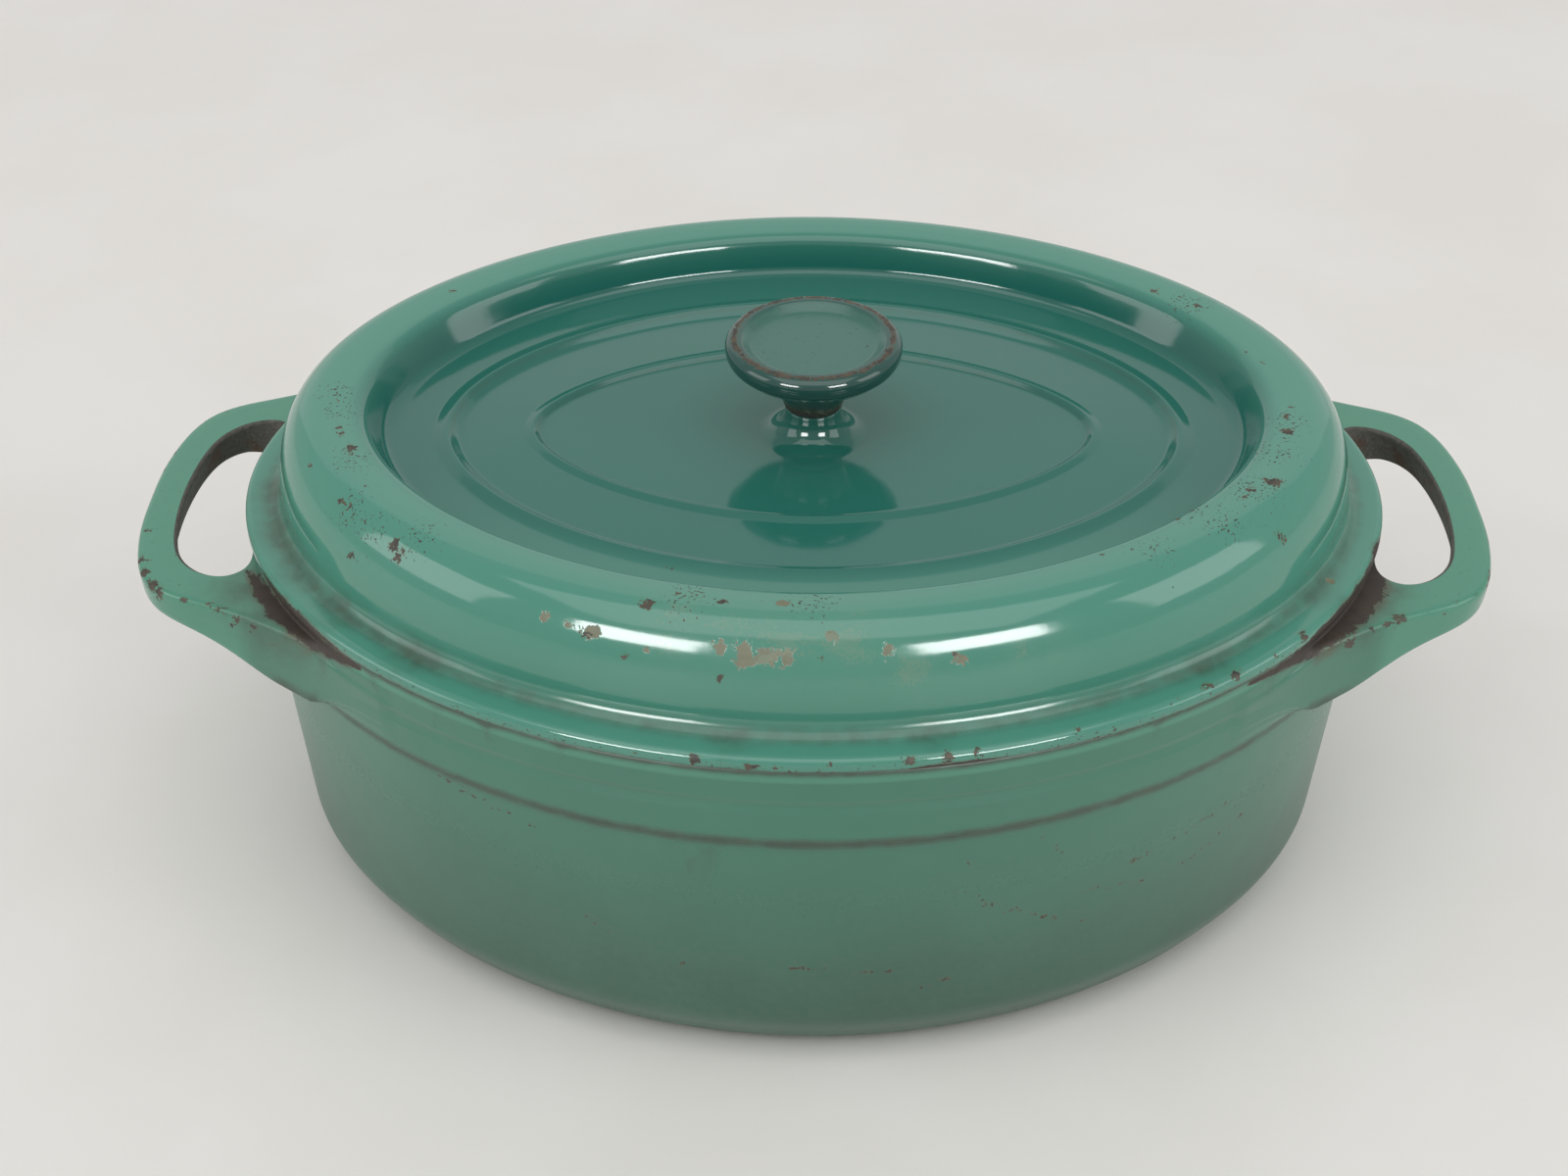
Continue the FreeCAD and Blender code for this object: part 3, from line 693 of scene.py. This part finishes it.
DRIPS_POT = [
    (-128, 92, 106, 1.3), (-112, 97, 108, 1.8), (-96, 96, 107, 1.2), (-81, 99, 108, 2.0),
    (-64, 101, 108, 1.2), (-27, 55, 80, 3.2), (-29, 66, 76, 1.8), (86, 100, 108, 1.4),
    (118, 96, 107, 1.6),
]
SCRATCHES_POT = [
    (38, 66, 64, 47), (44, 60, 74, 42), (70, 56, 92, 50), (84, 60, 112, 66), (-96, 84, -70, 78),
    (60, 80, 66, 70), (-8, 40, 22, 37), (100, 50, 118, 57), (-60, 50, -52, 44), (30, 30, 41, 33),
]


def points_of(piece):
    """The piece's points in millimetres, one row each."""
    flat = np.empty(len(piece.data.vertices) * 3, np.float32)
    piece.data.vertices.foreach_get("co", flat)
    return flat.reshape(-1, 3) / MM


def near(points, marks, scale=1.0):
    """The strongest of the marks at each point; a mark of reach r counts exp(-dd / rr) at d."""
    field = np.zeros(len(points))
    for x, y, z, reach in marks:
        reach = reach * scale
        apart = ((points - np.array([x, y, z])) ** 2).sum(axis=1)
        field = np.maximum(field, np.exp(-apart / reach ** 2))
    return field


def near_paths(points, paths):
    """Like near, but each path is a chain of (x, y, z, reach) and counts from its nearest stretch."""
    field = np.zeros(len(points))
    for path in paths:
        for start, end in zip(path, path[1:]):
            start, end = np.array(start, float), np.array(end, float)
            along = end[:3] - start[:3]
            share = np.clip((points - start[:3]) @ along / (along @ along), 0, 1)
            apart = ((points - start[:3] - share[:, None] * along) ** 2).sum(axis=1)
            reach = start[3] + share * (end[3] - start[3])
            field = np.maximum(field, np.exp(-apart / reach ** 2))
    return field


def bell(value, middle, width):
    """1 at middle, falling off on both sides like a bell of this width."""
    return np.exp(-((value - middle) / width) ** 2)


def streaks(points, marks):
    """Runs down the front: (x, lowest, highest, half width), fading towards the lower end."""
    field = np.zeros(len(points))
    x, height = points[:, 0], points[:, 2]
    for middle, low, high, width in marks:
        wander = middle + 1.2 * np.sin(height / 5 + middle)
        run = bell(x, wander, width) * ramp(height, low, high) * (height < high + 3)
        field = np.maximum(field, run * (points[:, 1] < 0))
    return field


def scratches(points, marks):
    """Thin straight lines on the front, given by their ends as (x, z, x, z)."""
    field = np.zeros(len(points))
    place = points[:, [0, 2]]
    for x1, z1, x2, z2 in marks:
        start = np.array([x1, z1])
        along = np.array([x2 - x1, z2 - z1])
        share = np.clip((place - start) @ along / (along @ along), 0, 1)
        apart = ((place - start - share[:, None] * along) ** 2).sum(axis=1)
        field = np.maximum(field, np.exp(-apart / 1.1 ** 2) * (points[:, 1] < 0))
    return field


def ramp(value, low, high):
    """0 below low, 1 above high and a smooth rise between."""
    t = np.clip((value - low) / (high - low), 0, 1)
    return t * t * (3 - 2 * t)


def paint(piece, name, values):
    """Stores one value from 0 to 1 at every point, for the materials to read."""
    layer = piece.data.attributes.new(name, "FLOAT", "POINT")
    layer.data.foreach_set("value", np.clip(values, 0, 1).astype(np.float32))


def scattered(rings, count, seed, reach):
    """Small random marks along ovals given as (half length, height)."""
    dice = np.random.default_rng(seed)
    half, height = np.array(rings, float)[dice.integers(len(rings), size=count)].T
    t = dice.random(count) * 2 * np.pi
    return np.stack([half * np.cos(t), half_width_of(half) * np.sin(t), height,
                     dice.uniform(0.5, 1.0, count) * reach], axis=1)


# %% Paint the lid
def paint_lid(piece):
    points = points_of(piece)
    rings, _ = lid_rings()
    half = np.repeat(rings[:, 0], len(points) // len(rings))
    height = points[:, 2]
    outer = ramp(half, 146, 150)
    chips = near(points, CHIPS_LID + scattered([(160.2, 114.0)], 40, 3, 2.0).tolist(), 0.72)
    lip = 0.52 * bell(half, 160.0, 1.2) * bell(height, SEAM + 0.2, 0.9)
    paint(piece, "chip", np.maximum(chips, lip))
    paint(piece, "rust", near_paths(points, RUST_LID))
    paint(piece, "khaki", near(points, KHAKI_LID))
    paint(piece, "scuff", near(points, SCUFF_LID))
    edge = bell(half, 160.2, 1.6) * bell(height, SEAM + 1.6, 2.2)
    paint(piece, "speck", np.maximum(near(points, SPECKS_LID), 0.75 * edge))
    corner = 0.62 * bell(half, 151.6, 3.6) * bell(height, SEAM + 4.4, 4.5)
    # Painted shade: thin dark lines at the two steps of the well floor, and a soft one in the trough at the
    # foot of the wall.
    steps = 0.9 * bell(half, 100.9, 0.9) + 0.9 * bell(half, 77.0, 0.8) + 0.3 * bell(half, 117.5, 3.0)
    # Painted shade: a dark line along the flange's underside, where the lid sits on the pot.
    flange_underside_shade = outer * bell(height, SEAM, 0.9)
    # Painted shade: a soft dark ring on the well floor round the boss, under the knob.
    boss = bell(np.hypot(points[:, 0], points[:, 1]), 16, 7) * ramp(half, -1, 1) * (half < 60)
    paint(piece, "grime_and_shade", np.maximum(corner, flange_underside_shade) + 0.5 * steps * (height > SEAM + 17) + 0.2 * boss
          + 0.34 * near(points, GRIME_LID) * outer)
    # The well's colour: a deeper teal all over, with painted shade added on its wall and painted light (less
    # of the deep tone) towards the front of its floor.
    wall = bell(half, 122.0, 4.0)
    front = ramp(-points[:, 1], 20, 85) * ramp(half, 101, 108) * (1 - wall)
    inside_well = (1 - ramp(half, 119, 130)) * (height > SEAM + 16)
    paint(piece, "deep_and_shade", inside_well * (0.82 + 0.18 * wall - 0.5 * front))
    paint(piece, "fade", 0 * half)
    print("lid painted")


paint_lid(lid)


# %% Paint the pot and the knob
def paint_pot(piece):
    points = points_of(piece)
    height = points[:, 2]
    outlying = np.abs(points[:, 0]) - 150
    scratch = scratches(points, SCRATCHES_POT)
    paint(piece, "chip", np.maximum(near(points, CHIPS_POT, 0.72), 0.62 * scratch))
    paint(piece, "rust", near_paths(points, RUST_POT))
    paint(piece, "khaki", np.zeros(len(points)))
    paint(piece, "scuff", 1 - ramp(height, 20, 100))
    edge = bell(height, HANDLE_TOP - 0.6, 1.8) * ramp(outlying, 9, 16)
    paint(piece, "speck", np.maximum(0.55 * edge, 0.35 * bell(height, 3, 5)))
    # Painted shade: a dark line under the band's step.
    step = bell(height, BAND_FOOT - 1.0, 2.4) * (1 - ramp(outlying, 0, 5))
    # Painted shadow: a dark line along the top of the band, under the lid's flange.
    seam_shadow = bell(height, POT_HEIGHT - 0.6, 1.6)
    # Painted shade: darker along the foot, where the pot meets the floor.
    foot = 1 - ramp(height, 0, 7)
    drips = streaks(points, DRIPS_POT)
    paint(piece, "grime_and_shade", 0.7 * near(points, GRIME_POT) + 1.3 * step + seam_shadow + 0.5 * foot + 0.5 * drips)
    paint(piece, "deep_and_shade", np.zeros(len(points)))
    # Darker and duller towards the base, except on the loops and the top of the band.
    side = 0.42 + 0.58 * (1 - ramp(height, 0, 95))
    paint(piece, "fade", side * (1 - ramp(outlying, 0, 6)) * (1 - ramp(height, 107.6, 108.6)))


def paint_knob(piece):
    points = points_of(piece)
    radius = np.hypot(points[:, 0], points[:, 1])
    height = points[:, 2]
    worn = bell(radius, 21.7, 1.15) * ramp(height, KNOB_TOP - 1.4, KNOB_TOP - 0.5)
    dish = ramp(20.5 - radius, 0, 2) * ramp(height, KNOB_TOP - 4, KNOB_TOP - 3)
    # The neck is darkened through the rust and grime fields: dark iron, and painted shade under the knob's
    # disc.
    neck = 1 - ramp(height, BOSS_TOP + 0.5, BOSS_TOP + 7)
    paint(piece, "chip", 0.9 * worn + 0.7 * bell(height, BOSS_TOP, 1.0))
    stains = np.array([(-7, -10, KNOB_TOP, 4), (8, 8, KNOB_TOP, 4), (0, -4, KNOB_TOP, 3),
                       (12, -2, KNOB_TOP, 3)])
    paint(piece, "rust", 0.6 * neck)
    paint(piece, "khaki", 0.34 * near(points, stains) * dish)
    paint(piece, "scuff", 0.5 * dish)
    paint(piece, "speck", 0.45 * dish)
    paint(piece, "grime_and_shade", 0.35 * dish * bell(radius, 18, 2) + 0.9 * neck)
    paint(piece, "deep_and_shade", np.ones(len(points)))
    paint(piece, "fade", dish)


paint_pot(pot)
paint_knob(knob)
print("pot and knob painted")

# %% [markdown]
# ## Writing materials
#
# A material is a chain of nodes. The class below stands for one socket of such a chain, so that
# sums can be written as sums; everything that isn't arithmetic goes through its node method.

# %% Wires
class Wire:
    """A socket in a material's node tree. Arithmetic on wires adds Math nodes."""

    def __init__(self, tree, socket=None):
        self.tree = tree
        self.socket = socket

    def node(self, kind, settings=None, inputs=None, output=0):
        """Adds a node of this kind and gives back one of its outputs."""
        made = self.tree.nodes.new(kind)
        for name, value in (settings or {}).items():
            setattr(made, name, value)
        for name, value in (inputs or {}).items():
            if isinstance(value, Wire):
                self.tree.links.new(value.socket, made.inputs[name])
            else:
                made.inputs[name].default_value = value
        return Wire(self.tree, made.outputs[output])

    def maths(self, operation, first, second):
        return self.node("ShaderNodeMath", {"operation": operation}, {0: first, 1: second})

    def __add__(self, other):
        return self.maths("ADD", self, other)

    __radd__ = __add__

    def __sub__(self, other):
        return self.maths("SUBTRACT", self, other)

    def __rsub__(self, other):
        return self.maths("SUBTRACT", other, self)

    def __mul__(self, other):
        return self.maths("MULTIPLY", self, other)

    __rmul__ = __mul__

    def __truediv__(self, other):
        return self.maths("DIVIDE", self, other)

    def __rtruediv__(self, other):
        return self.maths("DIVIDE", other, self)

    def rise(self, low, high):
        """0 below low, 1 above high and a smooth rise between."""
        return self.node("ShaderNodeMapRange", {"interpolation_type": "SMOOTHSTEP"},
                         {"Value": self, "From Min": low, "From Max": high})

    def mix(self, first, second):
        """The first colour where this wire is 0 and the second where it is 1."""
        colours = {index: colour if isinstance(colour, Wire) else (*colour, 1)
                   for index, colour in ((6, first), (7, second))}
        return self.node("ShaderNodeMix", {"data_type": "RGBA"}, {0: self, **colours}, output=2)


def new_material(name):
    """An empty material: its tree, and its place in millimetres as a wire."""
    material = bpy.data.materials.new(name)
    material.use_nodes = True
    tree = material.node_tree
    tree.nodes.clear()
    start = Wire(tree)
    place = start.node("ShaderNodeTexCoord", output="Object")
    place = start.node("ShaderNodeVectorMath", {"operation": "SCALE"}, {0: place, "Scale": 1 / MM})
    return material, start, place


def noise(place, size, detail=2.0, stretch=None, seed=0.0):
    """Smooth noise from 0 to 1 whose lumps are about size millimetres across."""
    if stretch or seed:
        place = place.node("ShaderNodeMapping", None, {"Vector": place, "Scale": stretch or (1, 1, 1),
                                                       "Location": (seed, seed, seed)})
    return place.node("ShaderNodeTexNoise", None, {"Vector": place, "Scale": 1 / size, "Detail": detail})


def field(start, name):
    return start.node("ShaderNodeAttribute", {"attribute_name": name}, output="Fac")


def finish(start, colour, rough, bump=None, depth=0.0, metal=0.0, coat=0.0, ior=1.5):
    """Ends a material: a Principled surface, with a bump of this depth in millimetres."""
    inputs = {"Base Color": colour if isinstance(colour, Wire) else (*colour, 1), "Roughness": rough,
              "Metallic": metal, "Coat Weight": coat, "IOR": ior}
    if bump is not None:
        relief = {"Height": bump, "Distance": depth * MM, "Strength": 1.0}
        inputs["Normal"] = start.node("ShaderNodeBump", None, relief)
    surface = start.node("ShaderNodeBsdfPrincipled", None, inputs)
    output = start.tree.nodes.new("ShaderNodeOutputMaterial")
    start.tree.links.new(surface.socket, output.inputs["Surface"])


# %% [markdown]
# ## Green enamel
#
# Glass fused on to iron: a clear green with soft waves in its surface. On the lid's top it keeps
# its gloss, in the sunken middle it is a deeper teal with painted shade on the well's wall and
# painted light towards the front of its floor, and low on the pot it is darker and duller.
# Chips go down to dark iron with a rusty edge, and worn places show a khaki underglaze. The grime
# film also carries painted shade along the seam, under steps and ledges and round the boss.

# %% The enamel
GLASS_IOR = 1.58


def enamel(name, colour, deep_and_shade, second_colour, gloss, second_gloss, rubbing=0.0):
    material, start, place = new_material(name)
    wander = noise(place, 45, 3)
    fine = noise(place, 2.2, 4)
    grain = noise(place, 0.8, 2, seed=9)
    fade = field(start, "fade")
    grime_and_shade = field(start, "grime_and_shade")
    scuff = field(start, "scuff")
    # A deeper teal, and in the lid's well also painted shade on the wall and painted light towards the front.
    body = field(start, "deep_and_shade").mix(colour, deep_and_shade)
    # Towards the second colour where this field is set: darker low on the pot, lighter in the knob's dish.
    body = (fade * (0.75 + 0.5 * wander)).mix(body, second_colour)
    # Dark olive film: grime, and painted shade along the seam, under steps and ledges and round the boss.
    film_and_shade = (grime_and_shade * (0.35 + 0.9 * noise(place, 5, 4, seed=4))).rise(0.10, 0.9) * 0.8
    body = film_and_shade.mix(body, noise(place, 9, 3, seed=15).mix((0.022, 0.036, 0.028), (0.066, 0.086, 0.050)))
    dust = scuff * fine * 0.12
    body = dust.mix(body, (0.30, 0.36, 0.29))
    khaki = field(start, "khaki")
    worn = (khaki + (fine - 0.5) * 1.3 + (grain - 0.5) * 0.7).rise(0.48, 0.62) * khaki.rise(0.05, 0.25)
    body = worn.mix(body, noise(place, 3, 3, seed=2).mix((0.12, 0.14, 0.080), (0.21, 0.20, 0.125)))
    rubbed = scuff * (noise(place, 7, 4, stretch=(0.35, 1, 1), seed=21) + (grain - 0.5) * 0.6)
    streaky = rubbed.rise(0.44, 0.60) * rubbing
    body = streaky.mix(body, (0.20, 0.30, 0.215))
    ragged = (fine - 0.5) * 1.25 + (grain - 0.5) * 1.3
    chip = field(start, "chip")
    near_chip = chip.rise(0.04, 0.22)
    knocked = (chip + ragged).rise(0.62, 0.70) * near_chip
    specks = (grain + 0.2 * field(start, "speck")).rise(0.795, 0.83)
    rim = (chip + ragged).rise(0.48, 0.62) * near_chip
    body = (rim * 0.6).mix(body, (0.125, 0.115, 0.055))
    iron = noise(place, 3, 4, seed=6).rise(0.35, 0.65).mix((0.028, 0.025, 0.020), (0.088, 0.068, 0.042))
    bare = 1 - (1 - knocked) * (1 - specks)
    body = bare.mix(body, iron)
    eaten = field(start, "rust")
    halo = (eaten + (noise(place, 8, 4, seed=17) - 0.5) * 0.7).rise(0.12, 0.60)
    halo = halo * eaten.rise(0.01, 0.12) * 0.75
    body = halo.mix(body, noise(place, 4, 3, seed=18).mix((0.050, 0.052, 0.030), (0.115, 0.090, 0.045)))
    rust = (eaten + (noise(place, 4, 5, seed=12) - 0.5) * 1.1 + (grain - 0.5) * 0.5).rise(0.46, 0.62)
    rust = rust * eaten.rise(0.10, 0.3)
    body = rust.mix(body, noise(place, 3, 4, seed=13).mix((0.012, 0.010, 0.008), (0.062, 0.040, 0.025)))
    shine = (fade * (second_gloss - gloss) + gloss) + 0.1 * scuff * fine + 0.3 * film_and_shade
    rough = shine + (0.62 - shine) * (1 - (1 - bare) * (1 - worn) * (1 - rust))
    height = 0.35 * noise(place, 16, 1) + 0.02 * fine - 0.5 * bare - 0.12 * worn - 0.3 * rust
    finish(start, body, rough, height, 0.35, ior=GLASS_IOR)
    return material


lid_green = enamel("lid_green", (0.080, 0.285, 0.212), (0.012, 0.130, 0.105), (0.07, 0.2, 0.15),
                   0.09, 0.3, rubbing=0.4)
pot_green = enamel("pot_green", (0.078, 0.285, 0.195), (0.040, 0.165, 0.130), (0.017, 0.092, 0.060), 0.2, 0.3)
knob_green = enamel("knob_green", (0.03, 0.11, 0.09), (0.022, 0.085, 0.072), (0.036, 0.155, 0.122),
                    0.09, 0.26)

# %% [markdown]
# ## Bare iron, lining and steel
#
# The finger openings, the seat ring and the rim have no enamel and show rough dark iron. The
# inside has a pale sand-coloured lining with stains from cooking. The screw and washers are
# plated steel with fine turning marks.

# %% The other finishes
def bare_iron(name):
    material, start, place = new_material(name)
    rust = noise(place, 9, 4).rise(0.52, 0.7)
    grey = noise(place, 1.4, 4, seed=3).mix((0.055, 0.052, 0.046), (0.17, 0.165, 0.145))
    colour = (rust * 0.7).mix(grey, (0.11, 0.058, 0.034))
    finish(start, colour, 0.55 + 0.3 * noise(place, 2, 3), noise(place, 1.2, 4, seed=5), 0.5, metal=0.25)
    return material


def lining(name):
    material, start, place = new_material(name)
    stain = noise(place, 30, 4).rise(0.45, 0.75)
    specks = noise(place, 1.2, 2, seed=8).rise(0.74, 0.8)
    colour = (stain * 0.45).mix((0.60, 0.54, 0.42), (0.34, 0.25, 0.15))
    colour = (specks * 0.6).mix(colour, (0.10, 0.07, 0.045))
    finish(start, colour, 0.2 + 0.25 * stain, noise(place, 14, 2), 0.3)
    return material


def sole(name):
    material, start, place = new_material(name)
    rubbed = noise(place, 12, 5).rise(0.48, 0.62)
    scratches = noise(place, 1.5, 3, stretch=(0.05, 1.0, 1.0), seed=1).rise(0.6, 0.72)
    colour = rubbed.mix((0.022, 0.045, 0.038), (0.075, 0.068, 0.058))
    colour = (scratches * 0.5).mix(colour, (0.16, 0.155, 0.14))
    finish(start, colour, 0.42 + 0.25 * rubbed, noise(place, 3, 4), 0.25)
    return material


def steel(name, tone):
    material, start, place = new_material(name)
    turned = noise(place, 0.25, 2, stretch=(1, 1, 6))
    tarnish = noise(place, 2.5, 3, seed=7).rise(0.45, 0.75)
    colour = (tarnish * 0.6).mix(tuple(tone * part for part in (1.0, 0.985, 0.95)), (0.21, 0.17, 0.12))
    finish(start, colour, 0.26 + 0.14 * turned + 0.2 * tarnish, turned, 0.03, metal=1.0)
    return material


iron = bare_iron("bare_iron")
sand = lining("sand_lining")
worn_sole = sole("worn_sole")
for piece, green in ((lid, lid_green), (pot, pot_green)):
    for index, material in enumerate((green, iron, sand, worn_sole)):
        piece.data.materials[index] = material
    print(piece.name, "faces per finish", np.bincount([face.material_index for face in piece.data.polygons]))
knob.data.materials.append(knob_green)

STEEL_TONES = {"knob_screw": 0.56, "flat_washer": 0.62, "spring_washer": 0.42}
for node, tone in STEEL_TONES.items():
    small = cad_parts[node]
    small.data.materials.clear()
    small.data.materials.append(steel(node + "_steel", tone))


# %% The floor's finish
def floor_finish():
    material, start, place = new_material("pale_floor")
    mottle = noise(place, 120, 4).rise(0.3, 0.7)
    finish(start, mottle.mix((0.84, 0.815, 0.785), (0.88, 0.86, 0.835)), 0.55, noise(place, 25, 4), 0.4)
    return material


floor.data.materials.append(floor_finish())
